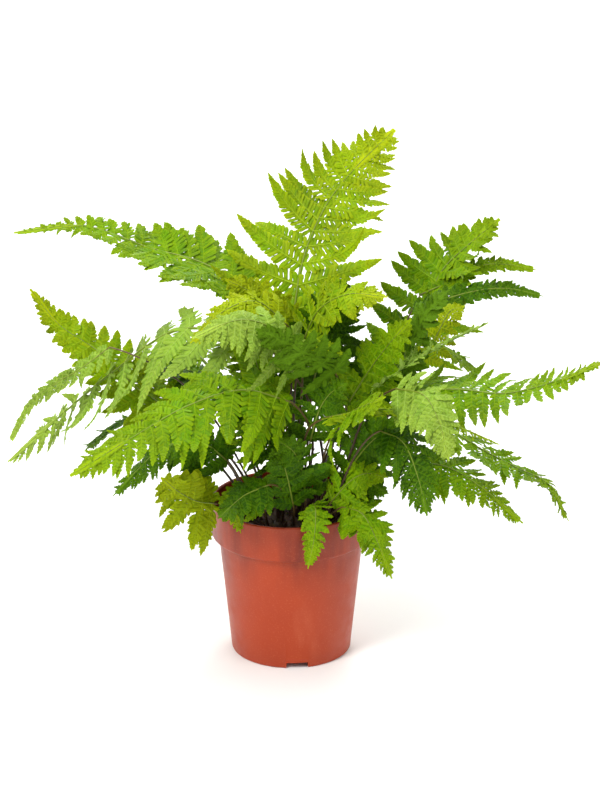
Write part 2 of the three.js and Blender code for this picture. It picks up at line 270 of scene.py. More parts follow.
def cutters():
    """Boxes for the notches in the foot and short rods for the drain holes."""
    foot, crown = -0.002, notch_height
    notch = ((-notch_foot, foot), (notch_foot, foot), (notch_crown, crown), (-notch_crown, crown))
    places, faces = [], []
    for turn in np.radians(notch_turns):
        out = np.array((math.sin(turn), -math.cos(turn), 0))
        side = np.array((math.cos(turn), math.sin(turn), 0))
        first = len(places)
        for depth in (0.036, 0.050):
            places += [out * depth + side * across + np.array((0, 0, height)) for across, height in notch]
        near, far = first, first + 4
        faces += [(near, near + 1, near + 2, near + 3), (far + 3, far + 2, far + 1, far)]
        faces += [(near + i, far + i, far + (i + 1) % 4, near + (i + 1) % 4) for i in range(4)]
        first = len(places)
        for height in (0.003, 0.010):
            rod = circle(drain_radius, drain_sides, height)
            places += [out * (drain_ring + x) + side * y + np.array((0, 0, z)) for x, y, z in rod]
        low = range(first, first + drain_sides)
        high = range(first + drain_sides, first + 2 * drain_sides)
        faces += [tuple(low), tuple(reversed(high))]
        faces += [(low[k - 1], high[k - 1], high[k], low[k]) for k in range(drain_sides)]
    return mesh_of("pot_cutters", [tuple(p) for p in places], faces)


def outward(mesh):
    """Turns a closed mesh's faces to look out."""
    work = bmesh.new()
    work.from_mesh(mesh)
    bmesh.ops.recalc_face_normals(work, faces=work.faces)
    work.to_mesh(mesh)
    work.free()


def cut(mesh, by, name):
    """The mesh less the cutters."""
    outward(mesh)
    outward(by)
    blank = bpy.data.objects.new("blank", mesh)
    tool = bpy.data.objects.new("tool", by)
    scene.collection.objects.link(blank)
    scene.collection.objects.link(tool)
    step = blank.modifiers.new("cut", "BOOLEAN")
    step.operation = "DIFFERENCE"
    step.solver = "EXACT"
    step.object = tool
    graph = bpy.context.evaluated_depsgraph_get()
    made = bpy.data.meshes.new_from_object(blank.evaluated_get(graph))
    made.name = name
    bpy.data.objects.remove(blank)
    bpy.data.objects.remove(tool)
    return made


pot_mesh = cut(pot_mesh, cutters(), "pot_shell")


def smooth(mesh, crease):
    """Smooth shading, with an edge kept sharp where the faces meet at more than the crease."""
    mesh.polygons.foreach_set("use_smooth", [True] * len(mesh.polygons))
    mesh.set_sharp_from_angle(angle=math.radians(crease))


smooth(pot_mesh, 40)

terracotta = Shader("terracotta_plastic")
pot_place = terracotta.node("TexCoord").outputs["Object"]
pot_axes = terracotta.node("SeparateXYZ", Vector=pot_place).outputs
mottle = terracotta.noise(26, 5, pot_place)
speckle = terracotta.spread(terracotta.noise(900, 2, pot_place), 0.56, 0.72)
# Darker streaks, none below 60 mm and full from the band's foot up over the band and rim: streaky plastic,
# darkened further as painted shade and a painted dark reflection on the band.
streaks = terracotta.noise(14, 4, pot_place, (3.0, 3.0, 0.35))
scuffs = terracotta.spread(terracotta.noise(60, 6, pot_place, (1.0, 1.0, 0.3)), 0.60, 0.74)
band_shade_mask = terracotta.spread(pot_axes["Z"], 0.060, 0.092)
base_tone = terracotta.blend(mottle, colour(156, 49, 8), colour(173, 60, 13))
band_shade_streaked = terracotta.blend(
    terracotta.times(terracotta.spread(streaks, 0.42, 0.66), band_shade_mask),
    base_tone,
    colour(112, 30, 3),
)
speckled = terracotta.blend(terracotta.times(speckle, 0.14), band_shade_streaked, colour(216, 120, 76))
scuffed = terracotta.blend(terracotta.times(scuffs, 0.16), speckled, colour(206, 112, 80))
rough = terracotta.spread(terracotta.noise(120, 4, pot_place), 0.3, 0.7, 0.34, 0.5)
rough = terracotta.plus(rough, terracotta.times(scuffs, 0.15))
terracotta.paint(scuffed, rough)
ripple = terracotta.times(terracotta.noise(90, 3, pot_place), 0.8)
grain = terracotta.plus(terracotta.noise(1400, 2, pot_place), ripple)
terracotta.bump(grain, 0.18, 0.0003)
terracotta.surface.inputs["Specular IOR Level"].default_value = 0.38

piece_of("pot_moulding", pot_mesh, terracotta.material, ["pot"])

# ---- Potting soil --------------------------------------------------------------------------
# Dark peat and bark compost that fills the pot to 12 mm under its rim. Its top is rough and
# crumbly, with pieces of bark and pale coconut fibre lying on it.

soil_level = 0.107
soil_radius = 0.0576
rng = np.random.default_rng(7)


def lumps(x, y, sizes, seed):
    """A rough surface made of many random swells, one layer for each size."""
    chance = np.random.default_rng(seed)
    height = np.zeros_like(x)
    for size, tall in sizes:
        for _ in range(14):
            turn = chance.uniform(0, 2 * np.pi)
            phase = chance.uniform(0, 2 * np.pi)
            pitch = 2 * np.pi / size * chance.uniform(0.6, 1.5)
            height += tall / 4 * np.sin(pitch * (x * np.cos(turn) + y * np.sin(turn)) + phase)
    return height


def soil_top(x, y):
    out = np.hypot(x, y) / soil_radius
    crown = soil_level - 0.003 * np.clip((out - 0.75) / 0.25, 0, 1)
    return crown + lumps(x, y, [(0.020, 0.0016), (0.007, 0.0012), (0.0032, 0.0007)], 3)


def solid(name, points, faces, crease):
    """A closed mesh that looks out on all sides and is smooth up to the crease."""
    mesh = mesh_of(name, points, faces)
    outward(mesh)
    smooth(mesh, crease)
    return mesh


soil_sides = 150
soil_rings = 52
soil_points = []
for i in range(soil_rings):
    soil_points += circle(soil_radius * (i + 1) / soil_rings, soil_sides, 0)
plan = np.array(soil_points)
plan[:, 2] = soil_top(plan[:, 0], plan[:, 1])
soil_points = plan.tolist()
walls = [
    (0.0570, 0.0960),
    (0.0556, 0.0942),
    (0.0526, 0.0926),
    (0.0517, 0.0902),
    (0.0512, 0.0820),
    (0.0430, 0.0082),
]
for radius, height in walls:
    soil_points += circle(radius, soil_sides, height)
crown_point = len(soil_points)
soil_points.append((0, 0, float(soil_top(0.0, 0.0))))
soil_faces = ring_faces(soil_rings + len(walls), soil_sides)
soil_faces += [(crown_point, (k + 1) % soil_sides, k) for k in range(soil_sides)]
soil_faces.append(tuple(range(crown_point - soil_sides, crown_point)))
soil_mesh = solid("soil_plug", soil_points, soil_faces, 60)

compost = Shader("compost")
clods = compost.noise(160, 6)
specks = compost.noise(620, 3)
dark = compost.blend(compost.spread(clods, 0.35, 0.7), colour(22, 14, 9), colour(66, 44, 28))
fleck = compost.spread(specks, 0.66, 0.74)
flecked = compost.blend(compost.times(fleck, 0.55), dark, colour(128, 92, 58))
compost.paint(flecked, compost.spread(specks, 0.3, 0.7, 0.78, 0.98))
compost.bump(compost.plus(clods, specks), 0.8, 0.0012)
piece_of("potting_soil_plug", soil_mesh, compost.material, ["potting_soil"])


def chance_spot(reach, least=0.0):
    """A place by chance on a disc about the pot's axis."""
    radius = reach * math.sqrt(rng.uniform(least, 1))
    a = rng.uniform(0, 2 * math.pi)
    return radius * math.cos(a), radius * math.sin(a)


def crumbs(count, reach, small, large, flat):
    """Small rough lumps that lie on the soil, each an eight-cornered stone of its own shape."""
    corners = np.array([(x, y, z) for x in (-1, 1) for y in (-1, 1) for z in (-1, 1)], float)
    sides = [(0, 1, 3, 2), (4, 6, 7, 5), (0, 4, 5, 1), (2, 3, 7, 6), (0, 2, 6, 4), (1, 5, 7, 3)]
    points, faces = [], []
    for _ in range(count):
        x, y = chance_spot(reach, 0.02)
        size = rng.uniform(small, large)
        shape = corners * rng.uniform(0.55, 1.0, (8, 1)) * size * np.array((1, rng.uniform(0.4, 0.9), flat))
        turn = rng.uniform(0, math.pi)
        tip = rng.uniform(-0.5, 0.5)
        level = np.array(((1, 0, 0), (0, math.cos(tip), -math.sin(tip)), (0, math.sin(tip), math.cos(tip))))
        cos, sin = math.cos(turn), math.sin(turn)
        about = np.array(((cos, -sin, 0), (sin, cos, 0), (0, 0, 1)))
        placed = shape @ level.T @ about.T + np.array((x, y, float(soil_top(x, y)) + size * flat * 0.35))
        faces += [tuple(len(points) + i for i in side) for side in sides]
        points += placed.tolist()
    mesh = mesh_of("crumbs", points, faces)
    outward(mesh)
    return mesh


bark = Shader("bark_crumb")
bark_noise = bark.noise(300, 5)
bark_tone = bark.blend(bark.spread(bark_noise, 0.3, 0.7), colour(34, 22, 14), colour(98, 64, 40))
bark.paint(bark_tone, bark.spread(bark_noise, 0.3, 0.7, 0.7, 0.95))
bark.bump(bark_noise, 0.6, 0.0006)
crumb_mesh = crumbs(900, 0.0555, 0.0006, 0.0021, 0.6)
piece_of("soil_crumbs", crumb_mesh, bark.material, ["potting_soil"])


def tube(path, radii, sides=6):
    """Points and faces of a closed tube along a path, with its own radius at each point."""
    path = np.asarray(path, float)
    along = np.gradient(path, axis=0)
    along /= np.linalg.norm(along, axis=1, keepdims=True)
    across = np.zeros_like(path)
    guide = np.array((0.0, 0.0, 1.0)) if abs(along[0][2]) < 0.9 else np.array((1.0, 0.0, 0.0))
    for i, step in enumerate(along):
        guide = guide - step * guide.dot(step)
        guide /= np.linalg.norm(guide)
        across[i] = guide
    other = np.cross(along, across)
    turns = np.arange(sides) * 2 * np.pi / sides
    ring = across[:, None] * np.cos(turns)[None, :, None] + other[:, None] * np.sin(turns)[None, :, None]
    points = (path[:, None] + ring * np.asarray(radii, float)[:, None, None]).reshape(-1, 3)
    faces = ring_faces(len(path), sides)
    faces.append(tuple(reversed(range(sides))))
    end = (len(path) - 1) * sides
    faces.append(tuple(range(end, end + sides)))
    return points.tolist(), faces


def joined(name, parts, crease):
    """One smooth mesh from many lists of points and faces."""
    points, faces = [], []
    for more_points, more_faces in parts:
        first = len(points)
        points += more_points
        faces += [tuple(first + i for i in face) for face in more_faces]
    return solid(name, points, faces, crease)


fibres = []
for _ in range(150):
    x, y = chance_spot(0.054, 0.02)
    heading = rng.uniform(0, 2 * math.pi)
    length = rng.uniform(0.006, 0.020)
    bend = rng.uniform(-1.4, 1.4)
    strand = []
    for i in range(8):
        strand.append((x, y))
        x += length / 7 * math.cos(heading + bend * i / 7)
        y += length / 7 * math.sin(heading + bend * i / 7)
    flat_run = np.array(strand)
    out = np.hypot(flat_run[:, 0], flat_run[:, 1])
    flat_run *= np.minimum(1, 0.0555 / np.maximum(out, 1e-6))[:, None]
    lift = soil_top(flat_run[:, 0], flat_run[:, 1]) + rng.uniform(0.0002, 0.0011)
    fibres.append(tube(np.column_stack([flat_run, lift]), [rng.uniform(0.00010, 0.00026)] * 8, 4))
coir = Shader("coir_fibre")
coir_tone = coir.noise(240, 3)
coir_brown = coir.blend(coir_tone, colour(96, 66, 40), colour(176, 136, 92))
coir.paint(coir_brown, coir.spread(coir_tone, 0.3, 0.7, 0.6, 0.85))
coir.bump(coir.noise(2200, 2), 0.3, 0.0001)
piece_of("soil_fibres", joined("fibres", fibres, 70), coir.material, ["potting_soil"])

# ---- Rootstock -----------------------------------------------------------------------------
# The fern's short woody rootstock, which sits at the soil's surface and is clothed in dark
# brown scales and the stubs of old stalks. The living stalks all rise from it.

root_radius = 0.044
root_middle = soil_level - 0.0005
root_half = 0.0085


def root_top(x, y):
    out = np.minimum(0.999, np.hypot(x, y) / root_radius)
    return root_middle + root_half * np.sqrt(1 - out * out)


root_points = []
root_sides = 90
root_rows = 27
rough_rows = 15
for i in range(root_rows):
    lean = math.pi * (i + 0.5) / root_rows
    height = root_middle + root_half * math.cos(lean)
    for x, y, _ in circle(root_radius * math.sin(lean), root_sides, 0):
        rough = float(lumps(x, y, [(0.012, 0.0012), (0.005, 0.001)], 5)) if i < rough_rows else 0
        root_points.append((x, y, height + rough))
root_faces = ring_faces(root_rows, root_sides)
root_faces.append(tuple(reversed(range(root_sides))))
root_faces.append(tuple(range(len(root_points) - root_sides, len(root_points))))
root_mesh = solid("rootstock_hump", root_points, root_faces, 60)
woody = Shader("scaly_wood")
wood_grain = woody.noise(420, 6, None, (1.0, 1.0, 0.4))
wood_tone = woody.blend(woody.spread(wood_grain, 0.3, 0.7), colour(26, 15, 9), colour(84, 52, 30))
woody.paint(wood_tone, woody.spread(wood_grain, 0.3, 0.7, 0.7, 0.95))
woody.bump(wood_grain, 0.8, 0.0009)
piece_of("rootstock_hump", root_mesh, woody.material, ["rootstock"])

stubs = []
for _ in range(70):
    x, y = chance_spot(0.040)
    tall = rng.uniform(0.004, 0.013)
    lean_x, lean_y = x * 0.25 + rng.normal(0, 0.002), y * 0.25 + rng.normal(0, 0.002)
    base = float(root_top(x, y)) - 0.001
    run = [(x + lean_x * t, y + lean_y * t, base + tall * t) for t in (0, 0.35, 0.7, 0.92, 1.0)]
    thick = rng.uniform(0.0006, 0.0015)
    stubs.append(tube(run, [thick * 1.15, thick, thick * 0.9, thick * 0.7, thick * 0.2], 6))
for _ in range(420):
    x, y = chance_spot(0.043)
    base = float(root_top(x, y)) - 0.0006
    tip = rng.normal(0, 0.0022, 2)
    tall = rng.uniform(0.001, 0.0042)
    bent = (x + tip[0] * 0.4, y + tip[1] * 0.4, base + tall * 0.7)
    run = [(x, y, base), bent, (x + tip[0], y + tip[1], base + tall)]
    stubs.append(tube(run, [0.00055, 0.00042, 0.00006], 4))
piece_of("rootstock_stubs", joined("stubs", stubs, 60), woody.material, ["rootstock"])

# ---- The fronds' places ---------------------------------------------------------------------
# Each frond rises from its foot on the rootstock through the points of its bare stalk, and its
# feathered blade runs through the rest. Points are in millimetres, with heights above the soil.


def row(name, foot, stalk, blade, face, long, pairs, sweep, hang, tone, gaps, **more):
    """A frond. face is where its blade's upper side looks, long the length of its longest leaflet,
    pairs how many leaflets a side has, sweep their angle to the midrib and hang how far they droop.
    tone is its green and gaps how far its lobes stand apart. Some also say fold, how the two halves
    lift; taper, how soon the leaflets shorten; broad, their width as a share of their spacing;
    count, how many to show instead; and youth, how fresh the green is."""
    return dict(
        name=name, foot=foot, stalk=stalk, blade=blade, face=face, long=long, pairs=pairs,
        sweep=sweep, hang=hang, tone=tone, gaps=gaps, **more,
    )


fronds = [
    row("top", (6, 12), [(-3, 14, 85)],
        [(0, 26, 130), (8, 46, 180), (24, 70, 215), (46, 90, 240), (76, 110, 265)],
        (-0.25, -0.9, 0.35), 70, 12, 62, 0.12, "lime", 0.25, fold=(8, 4), taper=0.7),
    row("upper_left", (-12, 14), [(-18, 30, 95)],
        [(-32, 46, 162), (-68, 60, 178), (-106, 70, 186), (-156, 80, 200), (-206, 84, 194)],
        (0.1, -0.35, 0.95), 48, 12, 58, 0.1, "green", 0.15, fold=(6, 16), taper=1.15, broad=0.75),
    row("left_lime", (-24, 8), [(-48, 24, 38)],
        [(-80, 40, 62), (-114, 54, 78), (-146, 64, 106), (-176, 74, 124), (-196, 80, 148)],
        (0.3, -0.8, 0.5), 38, 11, 62, 0.05, "lime", 0.1, taper=0.95),
    row("left_arching", (28, 0), [(20, -10, 70), (2, -14, 114)],
        [(-36, -10, 146), (-86, 10, 140), (-136, 34, 98), (-176, 60, 56), (-218, 80, 12)],
        (-0.2, -0.35, 0.9), 54, 13, 66, 0.4, "pale", 0.05, count=17, broad=0.46),
    row("left_low", (6, -14), [(16, -30, 68)],
        [(0, -50, 106), (-34, -64, 120), (-72, -80, 114), (-112, -98, 96), (-152, -110, 74)],
        (-0.1, -0.45, 0.9), 58, 12, 64, 0.3, "green", 0.12),
    row("left_shaded", (-30, -4), [(-44, 8, 32)],
        [(-60, 10, 46), (-80, 6, 54), (-98, 0, 50), (-114, -4, 36), (-130, -10, 20)],
        (-0.2, -0.3, 0.9), 26, 9, 60, 0.3, "deep", 0.2),
    row("rim_left", (-32, -16), [(-44, -26, 16)],
        [(-56, -36, 22), (-68, -42, 26), (-80, -46, 34), (-92, -50, 46)],
        (-0.45, -0.75, 0.45), 36, 6, 72, 0.2, "lime", 0.12, taper=0.6, broad=1.0, youth=1.0),
    row("right_upper", (26, 20), [(62, 40, 52)],
        [(84, 60, 98), (104, 80, 142), (116, 90, 164), (136, 96, 182), (156, 100, 198)],
        (-0.2, -0.75, 0.65), 54, 10, 66, 0.2, "green", 0.15, fold=(4, 34)),
    row("right_turned", (32, 8), [(54, 4, 68)],
        [(80, -8, 118), (90, -14, 146), (100, -14, 164), (112, -12, 176)],
        (0.7, 0.5, -0.3), 26, 7, 60, 0.1, "deep", 0.1),
    row("right_light", (37, -2), [(46, -16, 72)],
        [(62, -30, 110), (80, -40, 128), (106, -44, 146), (140, -50, 166)],
        (-0.3, 0.1, 0.95), 22, 10, 50, 0.05, "pale", 0.3, fold=(12, 12)),
    row("right_long", (38, -12), [(60, -18, 66)],
        [(90, -26, 106), (122, -40, 112), (154, -54, 114), (188, -68, 128), (218, -80, 146)],
        (0, -0.35, 0.95), 38, 11, 68, 0.15, "green", 0.12, broad=0.5),
    row("right_low", (33, 16), [(80, 22, 50)],
        [(112, 12, 66), (142, 2, 50), (166, -8, 40), (190, -18, 30), (204, -24, 6)],
        (0.2, -0.1, 0.9), 26, 10, 60, 0.1, "green", 0.25),
    row("right_hanging", (30, -20), [(52, -48, 92)],
        [(74, -84, 128), (92, -114, 134), (102, -134, 122), (108, -146, 100)],
        (0.1, -0.9, 0.4), 26, 8, 62, 0.3, "pale", 0.0),
    row("right_drooping", (30, -25), [(62, -34, 38)],
        [(88, -46, 58), (112, -60, 60), (136, -74, 50), (164, -84, 28)],
        (0, -0.4, 0.9), 28, 9, 58, 0.25, "green", 0.25),
    row("right_front", (26, -29), [(46, -56, 66)],
        [(64, -72, 92), (80, -86, 88), (90, -96, 66), (96, -102, 42)],
        (0.1, -0.8, 0.6), 28, 8, 55, 0.35, "deep", 0.2),
    row("front_middle", (12, -34), [], [(16, -46, 26), (18, -62, 28), (17, -72, 10), (13, -80, -8)],
        (0, -0.9, 0.45), 15, 7, 66, 0.15, "green", 0.1),
    row("front_right", (19, -33), [], [(38, -48, 24), (52, -62, 24), (62, -72, 8), (72, -80, -16)],
        (0.3, -0.85, 0.45), 24, 8, 66, 0.15, "green", 0.1),
    row("front_left", (-24, -28), [], [(-40, -40, 24), (-42, -52, 25), (-37, -62, 12)],
        (-0.2, -0.9, 0.45), 11, 5, 62, 0.15, "lime", 0.1),
    row("centre_turned", (22, -10), [(38, -28, 72)],
        [(32, -50, 128), (14, -60, 144), (-6, -66, 158), (-22, -68, 166)],
        (-0.2, 0.85, 0.45), 32, 8, 64, 0.1, "deep", 0.1),
    row("centre_bright", (18, -23), [(24, -40, 60)],
        [(32, -70, 92), (42, -90, 112), (52, -102, 122), (64, -110, 130)],
        (-0.2, -0.4, 0.9), 30, 7, 64, 0.25, "green", 0.1),
    row("centre_lime", (9, -25), [(10, -44, 74)],
        [(26, -66, 100), (62, -82, 112), (102, -94, 110), (146, -104, 94)],
        (0, 0.2, 1), 24, 10, 56, 0.2, "lime", 0.2),
    row("front_shaded", (-6, -30), [(-6, -44, 34)],
        [(-16, -60, 46), (-34, -72, 42), (-50, -80, 30)],
        (-0.1, -0.6, 0.8), 22, 7, 60, 0.3, "deep", 0.1),
    row("centre_yellow", (-4, 3), [(0, 2, 84)],
        [(-2, -10, 150), (-24, -20, 172), (-48, -30, 168), (-70, -36, 148)],
        (-0.3, -0.5, 0.85), 28, 9, 62, 0.4, "lime", 0.2, youth=1.0),
    row("back_left", (-20, 24), [(-42, 48, 56)],
        [(-60, 74, 88), (-80, 100, 98), (-100, 124, 90), (-118, 145, 66)],
        (-0.3, 0.2, 0.95), 46, 11, 64, 0.25, "green", 0.2),
    row("back_middle", (3, 28), [(8, 54, 84)],
        [(14, 80, 128), (20, 106, 140), (24, 130, 128), (26, 148, 104)],
        (0, 0.3, 0.95), 44, 10, 64, 0.3, "green", 0.2),
    row("back_right", (16, 31), [(44, 62, 62)],
        [(72, 90, 92), (98, 112, 98), (124, 130, 86), (146, 144, 62)],
        (0.3, 0.3, 0.9), 42, 10, 62, 0.25, "green", 0.2),
    row("back_low", (-8, 35), [(-16, 62, 42)],
        [(-26, 84, 60), (-36, 106, 58), (-42, 126, 42), (-46, 142, 18)],
        (-0.1, 0.4, 0.9), 34, 9, 62, 0.3, "deep", 0.2),
    row("left_back", (-33, 17), [(-66, 44, 36)],
        [(-94, 68, 50), (-118, 88, 46), (-142, 106, 30), (-162, 120, 6)],
        (-0.3, 0.2, 0.9), 34, 10, 62, 0.25, "deep", 0.2),
]

# Young fronds stand between the grown ones, deep in the crown and on all sides of it.
young = [
    row("inner_high", (4, -4), [(2, -4, 80)],
        [(8, -10, 136), (20, -22, 166), (41, -34, 182), (66, -46, 184)],
        (-0.1, -0.6, 0.8), 34, 8, 60, 0.15, "lime", 0.2),
    row("inner_tall", (8, 2), [(12, 2, 50)],
        [(16, 0, 101), (23, -4, 134), (30, -10, 161), (39, -14, 184)],
        (-0.1, -0.9, 0.3), 42, 8, 60, 0.15, "deep", 0.1),
    row("inner_right", (14, -8), [(26, -12, 50)],
        [(40, -20, 91), (56, -30, 122), (70, -40, 146), (84, -46, 165)],
        (-0.1, -0.8, 0.5), 32, 7, 60, 0.2, "green", 0.1),
    row("inner_left", (4, -22), [(6, -26, 24)],
        [(1, -30, 52), (-15, -44, 86), (-29, -56, 106), (-46, -66, 112)],
        (0.1, -0.8, 0.6), 36, 8, 60, 0.2, "deep", 0.1),
    row("inner_low", (8, -30), [], [(11, -36, 25), (8, -46, 52), (2, -56, 70), (-8, -62, 80)],
        (0, -0.8, 0.6), 28, 7, 62, 0.2, "deep", 0.1),
    row("inner_side", (28, -26), [], [(35, -30, 32), (52, -42, 65), (67, -54, 84), (84, -62, 92)],
        (0, -0.8, 0.6), 32, 8, 60, 0.2, "deep", 0.1),
    row("inner_short", (22, -34), [], [(29, -40, 24), (42, -50, 44), (54, -58, 54), (67, -64, 54)],
        (0, -0.7, 0.7), 22, 7, 60, 0.2, "green", 0.1),
    row("inner_yellow", (-6, 8), [(-6, 12, 80)],
        [(-4, 14, 128), (-17, 10, 155), (-30, 4, 172), (-45, -2, 182)],
        (-0.2, -0.8, 0.6), 30, 8, 60, 0.25, "lime", 0.2, youth=1.0),
    row("inner_soil", (-16, -36), [],
        [(-21, -44, 22), (-31, -52, 34), (-40, -58, 38), (-50, -62, 31)],
        (-0.1, -0.7, 0.7), 18, 6, 60, 0.2, "green", 0.1),
    row("inner_pale", (2, -12), [(6, -28, 80)],
        [(7, -40, 134), (-15, -52, 163), (-38, -64, 172), (-66, -76, 164)],
        (-0.1, -0.6, 0.8), 36, 9, 62, 0.5, "pale", 0.1),
    row("inner_deep", (24, 4), [], [(45, -4, 52), (55, -6, 88), (59, -4, 113), (59, 0, 132)],
        (-0.1, -0.9, 0.3), 34, 7, 60, 0.2, "deep", 0.1),
    row("inner_green", (-10, 2), [],
        [(-17, 0, 66), (-21, -8, 104), (-28, -18, 133), (-39, -26, 152)],
        (0, -0.9, 0.4), 36, 8, 60, 0.25, "green", 0.1),
    row("inner_behind", (4, 20), [(6, 34, 60)],
        [(0, 50, 100), (-8, 66, 124), (-18, 82, 134), (-30, 98, 128)],
        (0, 0.5, 0.8), 38, 9, 62, 0.25, "green", 0.15),
    row("inner_far", (20, 20), [(34, 34, 50)],
        [(48, 52, 84), (58, 74, 104), (64, 96, 104), (66, 116, 84)],
        (0.1, 0.5, 0.8), 36, 9, 62, 0.25, "deep", 0.15),
    row("inner_shade", (-18, 18), [(-30, 26, 40)],
        [(-48, 34, 74), (-68, 40, 94), (-90, 44, 100), (-112, 46, 90)],
        (-0.2, 0.1, 0.9), 36, 9, 62, 0.25, "deep", 0.15),
    row("inner_pot", (2, -34), [], [(2, -42, 22), (-2, -50, 46), (-6, -56, 62), (-12, -60, 72)],
        (0.1, -0.9, 0.4), 24, 8, 60, 0.15, "deep", 0.15),
    row("inner_rim", (30, -22), [], [(38, -34, 20), (46, -44, 36), (56, -52, 44), (68, -58, 40)],
        (0.1, -0.8, 0.6), 22, 8, 60, 0.2, "deep", 0.15),
    row("inner_mid", (14, -24), [(14, -30, 40)],
        [(14, -36, 70), (20, -44, 96), (28, -50, 112), (38, -54, 120)],
        (-0.1, -0.9, 0.4), 30, 9, 60, 0.15, "deep", 0.15),
    row("inner_west", (-8, -20), [(-10, -26, 30)],
        [(-12, -30, 58), (-22, -36, 82), (-34, -40, 96), (-48, -44, 102)],
        (-0.1, -0.8, 0.5), 32, 9, 60, 0.2, "green", 0.15),
    row("inner_rear", (-4, 14), [(-4, 16, 40)],
        [(-2, 18, 80), (2, 16, 108), (8, 12, 130), (16, 8, 146)],
        (0, -0.9, 0.3), 40, 9, 60, 0.15, "deep", 0.1),
    row("inner_wide", (20, 6), [(30, 6, 50)],
        [(42, 4, 84), (58, 2, 106), (76, -2, 118), (96, -6, 120)],
        (-0.1, -0.7, 0.6), 36, 9, 60, 0.2, "deep", 0.15),
    row("inner_left_low", (-22, -12), [(-34, -16, 26)],
        [(-46, -18, 48), (-62, -20, 62), (-80, -22, 66), (-98, -24, 58)],
        (-0.2, -0.7, 0.6), 32, 9, 60, 0.25, "deep", 0.15),
    row("thin_high", (24, 22), [(66, 56, 80)],
        [(98, 80, 146), (120, 84, 155), (142, 88, 166), (163, 90, 167), (184, 90, 163)],
        (-0.2, -0.8, 0.6), 12, 11, 50, 0.1, "green", 0.1),
    row("thin_low", (30, 14), [(64, 34, 76)],
        [(93, 50, 140), (115, 52, 151), (141, 56, 157), (164, 60, 157), (187, 62, 151)],
        (-0.2, -0.8, 0.6), 13, 12, 50, 0.1, "deep", 0.1),
    row("yellow_curl", (34, 4), [(70, 12, 70)],
        [(98, 18, 116), (108, 20, 134), (117, 24, 150), (126, 24, 154)],
        (-0.2, -0.8, 0.5), 17, 7, 62, 0.4, "lime", 0.3, youth=1.0),
    row("thin_left", (-20, -2), [(-70, 8, 90)],
        [(-134, 20, 124), (-157, 22, 106), (-176, 24, 94), (-195, 26, 78), (-211, 28, 48)],
        (-0.2, -0.6, 0.8), 11, 12, 52, 0.3, "pale", 0.1),
    row("inner_east", (30, 10), [(52, 22, 46)],
        [(76, 34, 76), (98, 42, 88), (120, 48, 84), (138, 52, 66)],
        (0.2, 0.1, 0.9), 32, 9, 62, 0.25, "green", 0.15),
]


def through(points, steps):
    """A smooth curve through the points, as that many places from the first to the last."""
    known = np.array(points, float)
    padded = np.vstack([2 * known[0] - known[1], known, 2 * known[-1] - known[-2]])
    at = np.linspace(0, len(known) - 1, steps)
    span = np.minimum(at.astype(int), len(known) - 2)
    t = (at - span)[:, None]
    before, start, end, after = (padded[span + i] for i in range(4))
    turn_in, turn_out = (end - before) / 2, (after - start) / 2
    return (
        start
        + turn_in * t
        + (3 * (end - start) - 2 * turn_in - turn_out) * t**2
        + (2 * (start - end) + turn_in + turn_out) * t**3
    )


def above_soil(points):
    return [(x / 1000, y / 1000, soil_level + z / 1000) for x, y, z in points]


def stalk_of(frond):
    """The stalk's path from inside the rootstock to the foot of the blade."""
    x, y = frond["foot"][0] / 1000, frond["foot"][1] / 1000
    foot = (x, y, float(root_top(x, y)) - 0.001)
    points = [foot, *above_soil(frond["stalk"]), *above_soil(frond["blade"][:2])]
    steps = 14 * (len(points) - 2) + 1
    return through(points, steps + 14)[:steps]


# ---- Stalks --------------------------------------------------------------------------------
# One stalk to each frond, about 2.6 mm thick where it leaves the rootstock. It is dark brown
# and scaly low down, reddish brown higher up, and runs on as the blade's green midrib.

stalk_skin = Shader("stalk_skin")
height_along = stalk_skin.node("Attribute", attribute_name="along").outputs["Fac"]
stalk_fleck = stalk_skin.noise(900, 4, None, (1, 1, 0.3))
low_stalk = stalk_skin.blend(stalk_fleck, colour(28, 16, 8), colour(66, 42, 22))
high_stalk = stalk_skin.blend(stalk_fleck, colour(74, 54, 20), colour(106, 86, 36))
green_rib = stalk_skin.blend(stalk_fleck, colour(96, 116, 20), colour(136, 154, 36))
stalk_tone = stalk_skin.blend(stalk_skin.spread(height_along, 0.25, 0.9), low_stalk, high_stalk)
stalk_tone = stalk_skin.blend(stalk_skin.spread(height_along, 0.96, 1.12), stalk_tone, green_rib)
stalk_skin.paint(stalk_tone, stalk_skin.spread(stalk_fleck, 0.3, 0.7, 0.38, 0.6))
stalk_skin.bump(stalk_fleck, 0.35, 0.0003)

